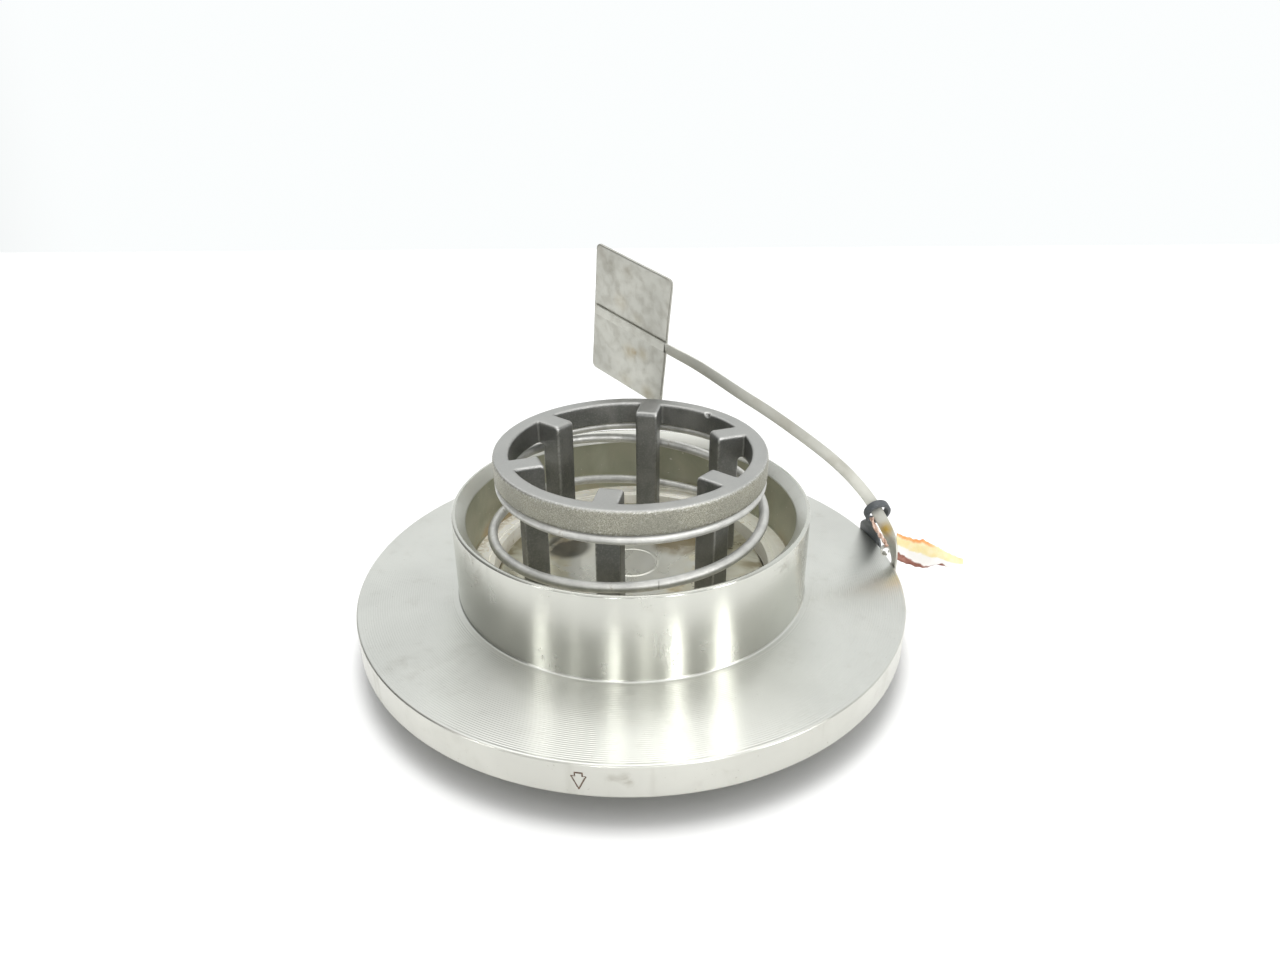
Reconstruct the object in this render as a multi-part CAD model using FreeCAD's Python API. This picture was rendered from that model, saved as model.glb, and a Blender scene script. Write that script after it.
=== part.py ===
"""Wafer check valve: a spring-loaded poppet in a turned body that is clamped between two pipe flanges.

Millimetres, +Z up against the flow. The origin is on the flow axis, level with the plate's upper
gasket face, where the collar starts. Flow runs down (-Z): it pushes the poppet off its seat against
the return spring, and the spring pulls the poppet shut.
"""
import FreeCAD, Part
import math
import os

from FreeCAD import Vector

# Plate and collar
PLATE_RADIUS = 98.0
PLATE_THICKNESS = 11.5
RIM_CHAMFER = 0.4
COLLAR_RADIUS = 62.75
COLLAR_HEIGHT = 31.1
COLLAR_EDGE = 0.5
BORE_RADIUS = 58.1
LEAD_IN_HEIGHT = 3.6
LEAD_IN_WIDTH = 3.4

# Ledge, throat and conical seat, which is at 45 degrees
LEDGE_HEIGHT = 7.0
THROAT_RADIUS = 49.5
SEAT_TOP = 0.5
OUTLET_RADIUS = 57.5

# Flow arrow engraved in the rim, pointing down
ARROW_AZIMUTH = -98.9
ARROW_LENGTH = 6.4
ARROW_HEAD_WIDTH = 4.7
ARROW_TAIL_WIDTH = 2.6
ARROW_HEAD_LENGTH = 4.8
ARROW_LINE = 0.45
ARROW_DEPTH = 0.25

# Poppet disc
SEAT_GAP = 0.354
DISC_TOP = 4.8
DISC_BOSS_RADIUS = 47.5
DISC_RADIUS = 56.5
DISC_BOTTOM = -20.5
DISC_EDGE = 0.8
RECESS_RADIUS = 44.0
RECESS_TOP = -6.0
CENTRE_MARK_RADIUS = 9.5
CENTRE_MARK_HEIGHT = 0.4

# Seal ring in the disc's cone
SEAL_SECTION = 2.65
SEAL_RADIUS = 50.4
SEAL_CLEARANCE = 0.12
GROOVE_CLEARANCE = 0.08

# Guide cage
CAGE_TOP = 51.0
CAGE_RING_BOTTOM = 42.3
CAGE_RING_RADIUS = 47.3
CAGE_RING_BORE = 41.7
CAGE_EDGE = 0.5
LEG_COUNT = 6
LEG_FIRST_AZIMUTH = 19.0
LEG_WIDTH = 8.2
LEG_INNER = 31.3
LEG_OUTER = 39.5
BRIDGE_OUTER = 43.3
LEG_TOP_ROUND = 1.6
LEG_SIDE_ROUND = 0.7

# Countersunk screws that hold the legs on the disc
SCREW_RADIUS = 2.5
SCREW_HEAD_RADIUS = 4.9
SCREW_LENGTH = 20.0
SCREW_SOCKET_FLATS = 3.0
SCREW_SOCKET_DEPTH = 2.2
SCREW_CIRCLE = (LEG_INNER + LEG_OUTER) / 2

# Return spring: one closed turn at the top, open at the ledge; stations of the active coils as
# (azimuth, height, coil radius)
WIRE_RADIUS = 1.75
COIL_SEATING_GAP = 0.1
COIL_TOP = CAGE_RING_BOTTOM - COIL_SEATING_GAP - WIRE_RADIUS
COIL_BOTTOM = LEDGE_HEIGHT + COIL_SEATING_GAP + WIRE_RADIUS
COIL_TOP_RADIUS = 45.4
COIL_BOTTOM_RADIUS = 55.4
CLOSED_TURN = 300.0
CLOSED_TURN_STEPS = 22
ACTIVE_STEPS = 34
SPRING_STATIONS = [
    (185, COIL_TOP, COIL_TOP_RADIUS),
    (155, 38.9, 45.4),
    (125, 36.8, 45.5),
    (90, 34.2, 45.8),
    (0, 28.6, 46.9),
    (-90, 25.0, 48.0),
    (-180, 19.8, 49.4),
    (-250, 14.4, 52.3),
    (-322, COIL_BOTTOM, COIL_BOTTOM_RADIUS),
]

# Tag strap and tag plate
STRAP_WIDTH = 4.5
STRAP_THICKNESS = 0.8
TAG_WIDTH = 42.5
TAG_HEIGHT = 59.5
TAG_THICKNESS = 1.0
TAG_CORNER = 2.2
TAG_CENTRE = Vector(0.3, 84.0, 69.0)
TAG_ACROSS = Vector(0.70, -0.68, -0.215)
TAG_UP = Vector(0.064, -0.24, 0.97)
# The strap's free run from the tag plate to its foot on the rim: centre, and direction of its width
STRAP_RUN = [
    (Vector(28.3, 60.6, 58.8), Vector(0.20, -0.05, 0.97)),
    (Vector(43.7, 51.4, 50.8), Vector(0.40, 0.10, 0.90)),
    (Vector(55.0, 44.5, 45.2), Vector(0.52, 0.20, 0.83)),
    (Vector(66.0, 37.0, 39.2), Vector(0.59, 0.21, 0.78)),
    (Vector(76.4, 30.0, 32.8), Vector(0.64, 0.19, 0.75)),
    (Vector(84.0, 24.4, 26.9), Vector(0.72, 0.14, 0.68)),
    (Vector(90.0, 18.8, 20.8), Vector(0.80, 0.07, 0.59)),
    (Vector(94.0, 13.2, 15.0), Vector(0.87, -0.05, 0.48)),
    (Vector(96.7, 8.8, 10.0), Vector(0.78, -0.55, 0.25)),
    (Vector(98.0, 6.0, 5.5), Vector(0.40, -0.91, 0.10)),
    (Vector(98.3, 4.6, 1.2), Vector(0.06, -1.0, 0.0)),
    (Vector(98.3, 4.6, -4.0), Vector(0.047, -1.0, 0.0)),
    (Vector(98.3, 4.6, -9.4), Vector(0.047, -1.0, 0.0)),
]

# Black loop on the strap, its flat tail, the wire and the torn label
LOOP_CENTRE = Vector(93.0, 15.1, 16.6)
LOOP_AXIS = Vector(0.20, -0.93, -0.31)
LOOP_RADIUS = 4.9
LOOP_HOLE = 3.6
LOOP_LENGTH = 3.0
TAIL_THICKNESS = 1.2
# The tail's two edges, from the loop to its end outside the rim
TAIL_EDGES = [
    (Vector(89.8, 17.2, 12.6), Vector(92.8, 17.4, 11.8)),
    (Vector(93.2, 33.8, 0.2), Vector(98.0, 22.0, -1.4)),
    (Vector(93.6, 34.2, -9.0), Vector(98.6, 22.2, -9.0)),
]
WIRE_ROUTE = [
    Vector(90.4, 12.4, 15.4),
    Vector(90.6, 8.6, 14.2),
    Vector(92.4, 7.6, 11.2),
    Vector(94.0, 6.6, 9.2),
    Vector(95.0, 4.8, 7.6),
]
LABEL_WIRE_RADIUS = 0.7
LABEL_THICKNESS = 0.35
# Torn label, from its held end outwards: (x, y, bottom, top)
LABEL_STATIONS = [
    (98.9, 6.9, 0.7, 11.7),
    (104.4, 7.0, -1.8, 9.6),
    (110.4, 6.2, -3.3, 8.5),
    (115.4, 5.2, -1.2, 6.0),
    (119.9, 4.5, -1.7, 3.5),
    (124.4, 4.0, -1.3, 1.8),
]


def turned(profile):
    """Solid of revolution about the flow axis, from (radius, height) corners."""
    corners = [Vector(radius, 0, height) for radius, height in profile]
    face = Part.Face(Part.makePolygon(corners + corners[:1]))
    return face.revolve(Vector(0, 0, 0), Vector(0, 0, 1), 360)


def on_circle(radius, azimuth, height):
    """Point at a radius and azimuth from the flow axis."""
    return Vector(radius * math.cos(math.radians(azimuth)), radius * math.sin(math.radians(azimuth)), height)


def about_axis(shape, azimuth):
    """Copy of a shape, turned about the flow axis."""
    copy = shape.copy()
    copy.rotate(Vector(0, 0, 0), Vector(0, 0, 1), azimuth)
    return copy


def prism(outline, direction):
    """Solid swept straight from a closed outline of corner points."""
    return Part.Face(Part.makePolygon(outline + outline[:1])).extrude(direction)


def arrow_outline(inset):
    """Corners of a downward arrow on the rim at azimuth 0, drawn inwards by inset."""
    tip = -ARROW_LENGTH / 2 + 1.6 * inset
    barb = -ARROW_LENGTH / 2 + ARROW_HEAD_LENGTH - inset
    tail = ARROW_LENGTH / 2 - inset
    head = ARROW_HEAD_WIDTH / 2 - 1.9 * inset
    shaft = ARROW_TAIL_WIDTH / 2 - inset
    middle = -PLATE_THICKNESS / 2
    half = [(0, tip), (head, barb), (shaft, barb), (shaft, tail)]
    mirrored = [(-across, along) for across, along in reversed(half[1:])]
    floor = PLATE_RADIUS - ARROW_DEPTH
    return [Vector(floor, across, middle + along) for across, along in half + mirrored]


def make_valve_body():
    seat_bottom = SEAT_TOP - (OUTLET_RADIUS - THROAT_RADIUS)
    body = turned([
        (THROAT_RADIUS, LEDGE_HEIGHT),
        (BORE_RADIUS, LEDGE_HEIGHT),
        (BORE_RADIUS, COLLAR_HEIGHT - LEAD_IN_HEIGHT),
        (BORE_RADIUS + LEAD_IN_WIDTH, COLLAR_HEIGHT),
        (COLLAR_RADIUS - COLLAR_EDGE, COLLAR_HEIGHT),
        (COLLAR_RADIUS, COLLAR_HEIGHT - COLLAR_EDGE),
        (COLLAR_RADIUS, 0),
        (PLATE_RADIUS - RIM_CHAMFER, 0),
        (PLATE_RADIUS, -RIM_CHAMFER),
        (PLATE_RADIUS, RIM_CHAMFER - PLATE_THICKNESS),
        (PLATE_RADIUS - RIM_CHAMFER, -PLATE_THICKNESS),
        (OUTLET_RADIUS, -PLATE_THICKNESS),
        (OUTLET_RADIUS, seat_bottom),
        (THROAT_RADIUS, SEAT_TOP),
    ])
    outwards = Vector(2, 0, 0)
    line = prism(arrow_outline(0), outwards).cut(prism(arrow_outline(ARROW_LINE), outwards))
    return body.cut(about_axis(line, ARROW_AZIMUTH))


def seal_centre():
    """Radius and height of the seal's section, just clear of the 45 degree seat."""
    seat_sum = THROAT_RADIUS + SEAT_TOP
    height = seat_sum - math.sqrt(2) * (SEAL_SECTION + SEAL_CLEARANCE) - SEAL_RADIUS
    return SEAL_RADIUS, height


def seal_ring(section):
    radius, height = seal_centre()
    return Part.makeTorus(radius, section, Vector(0, 0, height), Vector(0, 0, 1))


def leg_azimuths():
    return [LEG_FIRST_AZIMUTH + 360 / LEG_COUNT * index for index in range(LEG_COUNT)]


def make_poppet_disc():
    cone_sum = THROAT_RADIUS + SEAT_TOP - math.sqrt(2) * SEAT_GAP
    disc = turned([
        (0, DISC_TOP + CENTRE_MARK_HEIGHT),
        (CENTRE_MARK_RADIUS - CENTRE_MARK_HEIGHT, DISC_TOP + CENTRE_MARK_HEIGHT),
        (CENTRE_MARK_RADIUS, DISC_TOP),
        (DISC_BOSS_RADIUS - DISC_EDGE, DISC_TOP),
        (DISC_BOSS_RADIUS, DISC_TOP - DISC_EDGE),
        (DISC_BOSS_RADIUS, cone_sum - DISC_BOSS_RADIUS),
        (DISC_RADIUS, cone_sum - DISC_RADIUS),
        (DISC_RADIUS, DISC_BOTTOM + DISC_EDGE),
        (DISC_RADIUS - DISC_EDGE, DISC_BOTTOM),
        (RECESS_RADIUS, DISC_BOTTOM),
        (RECESS_RADIUS, RECESS_TOP),
        (0, RECESS_TOP),
    ])
    disc = disc.cut(seal_ring(SEAL_SECTION + GROOVE_CLEARANCE))
    hole_radius = SCREW_RADIUS + 0.15
    head_radius = SCREW_HEAD_RADIUS + 0.15
    hole = Part.makeCylinder(hole_radius, 30, Vector(SCREW_CIRCLE, 0, RECESS_TOP - 1))
    head_seat = Vector(SCREW_CIRCLE, 0, RECESS_TOP)
    countersink = Part.makeCone(head_radius, hole_radius, head_radius - hole_radius, head_seat)
    for azimuth in leg_azimuths():
        disc = disc.cut(about_axis(hole.fuse(countersink), azimuth))
    return disc


def make_leg():
    """One leg of the cage at azimuth 0, rounded along its inner edges, with its bridge to the ring."""
    height = CAGE_TOP - DISC_TOP
    corner = Vector(LEG_INNER, -LEG_WIDTH / 2, DISC_TOP)
    leg = Part.makeBox(LEG_OUTER - LEG_INNER, LEG_WIDTH, height, corner)
    bridge_corner = Vector(LEG_INNER + 2, -LEG_WIDTH / 2, CAGE_RING_BOTTOM)
    bridge = Part.makeBox(BRIDGE_OUTER - LEG_INNER - 2, LEG_WIDTH, CAGE_TOP - CAGE_RING_BOTTOM, bridge_corner)
    leg = leg.fuse(bridge).removeSplitter()
    top = [e for e in leg.Edges if e.BoundBox.XMax < LEG_INNER + 0.01 and e.BoundBox.ZMin > CAGE_TOP - 0.01]
    leg = leg.makeFillet(LEG_TOP_ROUND, top)
    side = [e for e in leg.Edges if e.BoundBox.XMax < LEG_INNER + 0.01 and e.BoundBox.ZLength > height / 2]
    leg = leg.makeFillet(LEG_SIDE_ROUND, side)
    thread_depth = SCREW_LENGTH + RECESS_TOP - DISC_TOP + 2
    return leg.cut(Part.makeCylinder(SCREW_RADIUS + 0.05, thread_depth, Vector(SCREW_CIRCLE, 0, DISC_TOP)))


def make_guide_cage():
    ring = turned([
        (CAGE_RING_BORE + CAGE_EDGE, CAGE_TOP),
        (CAGE_RING_RADIUS - CAGE_EDGE, CAGE_TOP),
        (CAGE_RING_RADIUS, CAGE_TOP - CAGE_EDGE),
        (CAGE_RING_RADIUS, CAGE_RING_BOTTOM + CAGE_EDGE),
        (CAGE_RING_RADIUS - CAGE_EDGE, CAGE_RING_BOTTOM),
        (CAGE_RING_BORE, CAGE_RING_BOTTOM),
        (CAGE_RING_BORE, CAGE_TOP - CAGE_EDGE),
    ])
    leg = make_leg()
    return ring.multiFuse([about_axis(leg, azimuth) for azimuth in leg_azimuths()]).removeSplitter()


def make_screw():
    """Countersunk socket screw at azimuth 0, its head flush with the roof of the disc's recess."""
    head_depth = SCREW_HEAD_RADIUS - SCREW_RADIUS
    tip = RECESS_TOP + SCREW_LENGTH
    base = Vector(SCREW_CIRCLE, 0, RECESS_TOP + 0.1)
    head = Part.makeCone(SCREW_HEAD_RADIUS, SCREW_RADIUS, head_depth, base)
    shank = Part.makeCylinder(SCREW_RADIUS, tip - base.z - 0.6, base)
    point = Part.makeCone(SCREW_RADIUS, SCREW_RADIUS - 0.6, 0.6, Vector(SCREW_CIRCLE, 0, tip - 0.6))
    corner = SCREW_SOCKET_FLATS / math.sqrt(3)
    hexagon = [base + on_circle(corner, 60 * side, 0) for side in range(6)]
    return head.fuse(shank).fuse(point).cut(prism(hexagon, Vector(0, 0, SCREW_SOCKET_DEPTH)))


def make_cage_screws():
    return Part.makeCompound([about_axis(make_screw(), azimuth) for azimuth in leg_azimuths()])


def spring_points():
    """Centres along the wire: closed turn under the ring, then the active coils down to the ledge."""
    level = Vector(-1, 0, 0)
    stations = [Vector(*station) for station in SPRING_STATIONS]
    active = Part.BSplineCurve()
    active.interpolate(stations, InitialTangent=level, FinalTangent=level)
    closed_step = Vector(-CLOSED_TURN / CLOSED_TURN_STEPS, 0, 0)
    top_turn = [stations[0] - closed_step * count for count in range(CLOSED_TURN_STEPS, 0, -1)]
    coils = active.discretize(ACTIVE_STEPS)
    return [on_circle(point.z, point.x, point.y) for point in top_turn + coils]


def make_return_spring():
    points = spring_points()
    curve = Part.BSplineCurve()
    curve.interpolate(points)
    path = Part.Wire(curve.toShape())
    profile = Part.Wire(Part.makeCircle(WIRE_RADIUS, points[0], curve.tangent(curve.FirstParameter)[0]))
    return path.makePipeShell([profile], True, True)


def section(centre, across, through, width, thickness):
    """Closed rectangle about a centre, width along one direction and thickness along another."""
    a, b = across * (width / 2), through * (thickness / 2)
    corners = [centre + a + b, centre - a + b, centre - a - b, centre + a - b]
    return Part.makePolygon(corners + corners[:1])


def tag_axes():
    """Unit directions of the tag plate: across, up, and out of its front face."""
    across = Vector(TAG_ACROSS).normalize()
    front = across.cross(TAG_UP).normalize()
    return across, front.cross(across), front


def make_tag_strap():
    across, up, front = tag_axes()
    on_plate = TAG_CENTRE + front * ((TAG_THICKNESS + STRAP_THICKNESS) / 2 + 0.05)
    shares = (-0.49, -0.25, 0.0, 0.25, 0.48, 0.54)
    straight = [(on_plate + across * (TAG_WIDTH * share), up) for share in shares]
    stations = straight + STRAP_RUN
    sections = []
    for index, (centre, width_hint) in enumerate(stations):
        before = stations[max(index - 1, 0)][0]
        after = stations[min(index + 1, len(stations) - 1)][0]
        along = (after - before).normalize()
        through = along.cross(width_hint).normalize()
        sections.append(section(centre, through.cross(along), through, STRAP_WIDTH, STRAP_THICKNESS))
    return Part.makeLoft(sections, True, False)


def make_tag_plate():
    across, up, front = tag_axes()
    corner = Vector(-TAG_WIDTH / 2, -TAG_HEIGHT / 2, -TAG_THICKNESS / 2)
    plate = Part.makeBox(TAG_WIDTH, TAG_HEIGHT, TAG_THICKNESS, corner)
    corners = [e for e in plate.Edges if e.BoundBox.ZLength > TAG_THICKNESS / 2]
    plate = plate.makeFillet(TAG_CORNER, corners)
    placement = FreeCAD.Matrix(
        across.x, up.x, front.x, TAG_CENTRE.x,
        across.y, up.y, front.y, TAG_CENTRE.y,
        across.z, up.z, front.z, TAG_CENTRE.z,
        0, 0, 0, 1,
    )
    return plate.transformGeometry(placement)


def make_tie_loop():
    axis = Vector(LOOP_AXIS).normalize()
    start = LOOP_CENTRE - axis * (LOOP_LENGTH / 2)
    ring = Part.makeCylinder(LOOP_RADIUS, LOOP_LENGTH, start, axis)
    sections = []
    for left, right in TAIL_EDGES:
        across = (right - left).normalize()
        through = across.cross(TAIL_EDGES[1][0] - TAIL_EDGES[0][0]).normalize()
        sections.append(section((left + right) / 2, across, through, (right - left).Length, TAIL_THICKNESS))
    tail = Part.makeLoft(sections, True, True)
    hole = Part.makeCylinder(LOOP_HOLE, 3 * LOOP_LENGTH, start - axis * LOOP_LENGTH, axis)
    return ring.fuse(tail).cut(hole)


def make_label_wire():
    pieces = []
    for start, end in zip(WIRE_ROUTE, WIRE_ROUTE[1:]):
        run = end - start
        pieces.append(Part.makeCylinder(LABEL_WIRE_RADIUS, run.Length, start, run))
    pieces += [Part.makeSphere(LABEL_WIRE_RADIUS, point) for point in WIRE_ROUTE[1:-1]]
    return pieces[0].multiFuse(pieces[1:])


def make_torn_label():
    through = Vector(0, 1, 0)
    upright = Vector(0, 0, 1)
    sections = [
        section(Vector(x, y, (bottom + top) / 2), upright, through, top - bottom, LABEL_THICKNESS)
        for x, y, bottom, top in LABEL_STATIONS
    ]
    return Part.makeLoft(sections, True, False)


NODES = {
    "valve_body": make_valve_body,
    "poppet_disc": make_poppet_disc,
    "guide_cage": make_guide_cage,
    "cage_screws": make_cage_screws,
    "seat_o_ring": lambda: seal_ring(SEAL_SECTION),
    "return_spring": make_return_spring,
    "tag_strap": make_tag_strap,
    "tag_plate": make_tag_plate,
    "tie_loop": make_tie_loop,
    "label_wire": make_label_wire,
    "torn_label": make_torn_label,
}

os.makedirs("parts", exist_ok=True)
for node, make in NODES.items():
    shape = make()
    shape.exportStep(f"parts/{node}.step")
    print(f"{node}: {len(shape.Solids)} solids, {shape.Volume / 1000:.2f} cm3, valid {shape.isValid()}")
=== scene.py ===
"""Looks of the wafer check valve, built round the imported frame.

+Z runs up the flow axis and the plate's upper face is at z = 0. Shapes are written in millimetres and
become metres when their meshes are made.
"""
import math

import bmesh
import bpy
from mathutils import Matrix, Vector, noise


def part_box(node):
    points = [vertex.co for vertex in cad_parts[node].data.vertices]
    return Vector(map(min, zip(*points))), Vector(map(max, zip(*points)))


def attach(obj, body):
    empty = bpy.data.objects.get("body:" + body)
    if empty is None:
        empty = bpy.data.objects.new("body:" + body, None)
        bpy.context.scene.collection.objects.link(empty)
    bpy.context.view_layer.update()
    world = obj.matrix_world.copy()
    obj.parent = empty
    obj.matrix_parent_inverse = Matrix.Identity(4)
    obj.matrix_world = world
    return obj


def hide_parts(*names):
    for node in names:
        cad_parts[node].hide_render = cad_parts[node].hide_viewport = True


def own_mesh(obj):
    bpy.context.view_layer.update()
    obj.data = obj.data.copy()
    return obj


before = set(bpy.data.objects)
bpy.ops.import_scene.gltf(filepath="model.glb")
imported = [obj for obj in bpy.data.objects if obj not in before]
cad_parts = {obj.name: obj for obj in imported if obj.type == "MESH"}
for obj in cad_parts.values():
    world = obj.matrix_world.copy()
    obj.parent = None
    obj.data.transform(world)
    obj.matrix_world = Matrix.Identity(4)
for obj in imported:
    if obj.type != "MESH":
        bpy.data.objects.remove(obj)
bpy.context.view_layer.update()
MM = 0.001

# ---- sizes, in millimetres
PLATE_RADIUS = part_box("valve_body")[1][0] / MM
COLLAR_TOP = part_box("valve_body")[1][2] / MM
PLATE_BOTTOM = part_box("valve_body")[0][2] / MM
COLLAR_RADIUS = 62.75
BORE_RADIUS = 58.1
LEAD_IN = 3.5
LEDGE = 7.0
LEDGE_STEP = 51.6
THROAT_RADIUS = 49.5
SEAT_TOP = 0.5
OUTLET_RADIUS = 57.5
GROOVE_PITCH = 0.79
GROOVE_DEPTH = 0.075
FACE_INNER = 64.2
FACE_OUTER = 97.0

# Flow arrow engraved in the rim; reach is in degrees
ARROW_AZIMUTH = -98.9
ARROW_MIDDLE = -6.05
ARROW_LINE = 0.42
ARROW_DEPTH = 0.2
ARROW_REACH = 2.2

DISC_TOP = 4.8
DISC_RADIUS = 56.5
DISC_STEP_RADIUS = 47.5
DISC_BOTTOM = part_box("poppet_disc")[0][2] / MM
CONE_SUM = 49.5  # radius plus height, all along the disc's cone
RECESS_RADIUS = 44.0
RECESS_TOP = -6.0
SCREW_CIRCLE = 35.4
SCREW_HOLE = 2.6
LEG_AZIMUTHS = [19.0 + 60.0 * index for index in range(6)]
FULL_TURN = [360.0 * step / 240 for step in range(240)]

RING_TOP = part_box("guide_cage")[1][2] / MM
RING_RADIUS = 47.3
RING_NICK = Vector((29.0, 30.0, RING_TOP - 0.3))
CAGE_VOXEL = 0.42

WIRE_RADIUS = 1.75
SPRING_MARK = (8.3, -48.7, 25.9)
CLOSED_TURN = 300.0
# Active coils of the spring: (azimuth in degrees, height, coil radius)
SPRING_STATIONS = [
    (185, 40.45, 45.4),
    (155, 38.9, 45.4),
    (125, 36.8, 45.5),
    (90, 34.2, 45.8),
    (0, 28.6, 46.9),
    (-90, 25.0, 48.0),
    (-180, 19.8, 49.4),
    (-250, 14.4, 52.3),
    (-322, 8.85, 55.4),
]

TAG_WIDTH = 42.5
TAG_HEIGHT = 59.5
TAG_THICKNESS = 0.9
TAG_CORNER = 2.2
TAG_CENTRE = Vector((0.3, 84.0, 69.0))
TAG_ACROSS = Vector((0.70, -0.68, -0.215)).normalized()
TAG_UP_HINT = Vector((0.064, -0.24, 0.97))
STRAP_WIDTH = 4.4
STRAP_THICKNESS = 0.75
# Strap from the tag plate down to the rim: x, y, z of its centre, then the direction of its width
STRAP_RUN = [
    (28.3, 60.6, 58.8, 0.20, -0.05, 0.97),
    (43.7, 51.4, 50.8, 0.40, 0.10, 0.90),
    (55.0, 44.5, 45.2, 0.52, 0.20, 0.83),
    (66.0, 37.0, 39.2, 0.59, 0.21, 0.78),
    (76.4, 30.0, 32.8, 0.64, 0.19, 0.75),
    (84.0, 24.4, 26.9, 0.72, 0.14, 0.68),
    (90.0, 18.8, 20.8, 0.80, 0.07, 0.59),
    (94.0, 13.2, 15.0, 0.87, -0.05, 0.48),
    (96.7, 8.8, 10.0, 0.78, -0.55, 0.25),
    (98.0, 6.0, 5.5, 0.40, -0.91, 0.10),
    (98.45, 4.6, 1.2, 0.06, -1.0, 0.0),
    (98.45, 4.6, -4.0, 0.047, -1.0, 0.0),
    (98.45, 4.6, -9.4, 0.047, -1.0, 0.0),
]

LOOP_CENTRE = Vector((93.0, 15.1, 16.6))
LOOP_AXIS = Vector((0.20, -0.93, -0.31)).normalized()
LOOP_RADIUS = 4.9
LOOP_HOLE = 3.6
LOOP_LENGTH = 3.0
# Tail of the loop, from the loop down: its left and right edges
TAIL_EDGES = [
    (Vector((89.8, 17.2, 12.6)), Vector((92.8, 17.4, 11.8))),
    (Vector((93.2, 33.8, 0.2)), Vector((98.0, 22.0, -1.4))),
    (Vector((93.6, 34.2, -9.0)), Vector((98.6, 22.2, -9.0))),
]

STRAND_RADIUS = 0.42
LABEL_WIRE_ROUTE = [
    (90.4, 12.4, 15.4),
    (90.6, 8.6, 14.2),
    (92.4, 7.6, 11.2),
    (94.0, 6.6, 9.2),
    (95.0, 4.8, 7.6),
]
# Torn label, from its held end outwards: (x, y, bottom, top)
LABEL_STATIONS = [
    (98.9, 6.9, 0.7, 11.7),
    (104.4, 7.0, -1.8, 9.6),
    (110.4, 6.2, -3.3, 8.5),
    (115.4, 5.2, -1.2, 6.0),
    (119.9, 4.5, -1.7, 3.5),
    (124.4, 4.0, -1.3, 1.8),
]


# ---- mesh helpers
def smoothstep(low, high, value):
    share = min(max((value - low) / (high - low), 0.0), 1.0)
    return share * share * (3 - 2 * share)


def new_object(name, data):
    """Object added to the scene."""
    added = bpy.data.objects.new(name, data)
    bpy.context.scene.collection.objects.link(added)
    return added


def mesh_object(name, vertices, faces, materials, sharp_degrees, finishes=None, shares=None):
    """Object from millimetre vertices, smooth-shaded except across sharp edges.

    finishes gives each face its material; shares gives each vertex its place on a sheet.
    """
    mesh = bpy.data.meshes.new(name)
    mesh.from_pydata([tuple(c * MM for c in v) for v in vertices], [], faces)
    for material in materials:
        mesh.materials.append(material)
    if finishes:
        mesh.polygons.foreach_set("material_index", finishes)
    if shares:
        layer = mesh.uv_layers.new(name="UVMap")
        for loop in mesh.loops:
            layer.data[loop.index].uv = shares[loop.vertex_index]
    work = bmesh.new()
    work.from_mesh(mesh)
    bmesh.ops.remove_doubles(work, verts=work.verts, dist=1e-7)
    bmesh.ops.recalc_face_normals(work, faces=work.faces)
    work.to_mesh(mesh)
    work.free()
    mesh.polygons.foreach_set("use_smooth", [True] * len(mesh.polygons))
    mesh.set_sharp_from_angle(angle=math.radians(sharp_degrees))
    return new_object(name, mesh)


def settle(piece, body, slot, *nodes):
    """Fix a finished piece to its body, in place of CAD nodes."""
    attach(piece, body)
    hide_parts(*nodes)


def rounded(corners):
    """Outline with its corners rounded: corners are (radius, height, rounding, finish)."""
    outline = []
    count = len(corners)
    steps = 4
    for index, (r, z, rounding, finish) in enumerate(corners):
        here = Vector((r, z))
        if rounding <= 0:
            outline.append((r, z, finish))
            continue
        before = Vector(corners[index - 1][:2]) - here
        after = Vector(corners[(index + 1) % count][:2]) - here
        cut = min(rounding, 0.45 * before.length, 0.45 * after.length)
        start = here + before.normalized() * cut
        end = here + after.normalized() * cut
        for step in range(steps + 1):
            t = step / steps
            point = start * (1 - t) ** 2 + here * (2 * t * (1 - t)) + end * t ** 2
            outline.append((point.x, point.y, finish))
    return outline


def lathe(name, outline, materials, azimuths, displace=None, finish_at=None):
    """Solid turned about the flow axis from a closed (radius, height, finish) outline.

    displace moves points of the outline at an azimuth; finish_at gives a face another finish.
    """
    vertices, faces, finishes = [], [], []
    around, along = len(azimuths), len(outline)
    for azimuth in azimuths:
        cosine, sine = math.cos(math.radians(azimuth)), math.sin(math.radians(azimuth))
        for r, z, _ in outline:
            if displace:
                r, z = displace(r, z, azimuth)
            vertices.append((r * cosine, r * sine, z))
    for a in range(around):
        b = (a + 1) % around
        for i in range(along):
            j = (i + 1) % along
            if outline[i][0] == 0 and outline[j][0] == 0:
                continue
            faces.append((a * along + i, b * along + i, b * along + j, a * along + j))
            start, end = outline[i], outline[j]
            finishes.append(finish_at(start, end, azimuths[a], azimuths[b]) if finish_at else start[2])
    return mesh_object(name, vertices, faces, materials, 30.0, finishes)


def swept_faces(rings, sides):
    """Faces of a solid swept through rings of vertices, closed at both ends."""
    faces = []
    for index in range(rings - 1):
        for side in range(sides):
            other = (side + 1) % sides
            low, high = index * sides, (index + 1) * sides
            faces.append((low + side, low + other, high + other, high + side))
    last = (rings - 1) * sides
    faces.append(tuple(reversed(range(sides))))
    faces.append(tuple(last + side for side in range(sides)))
    return faces


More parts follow.
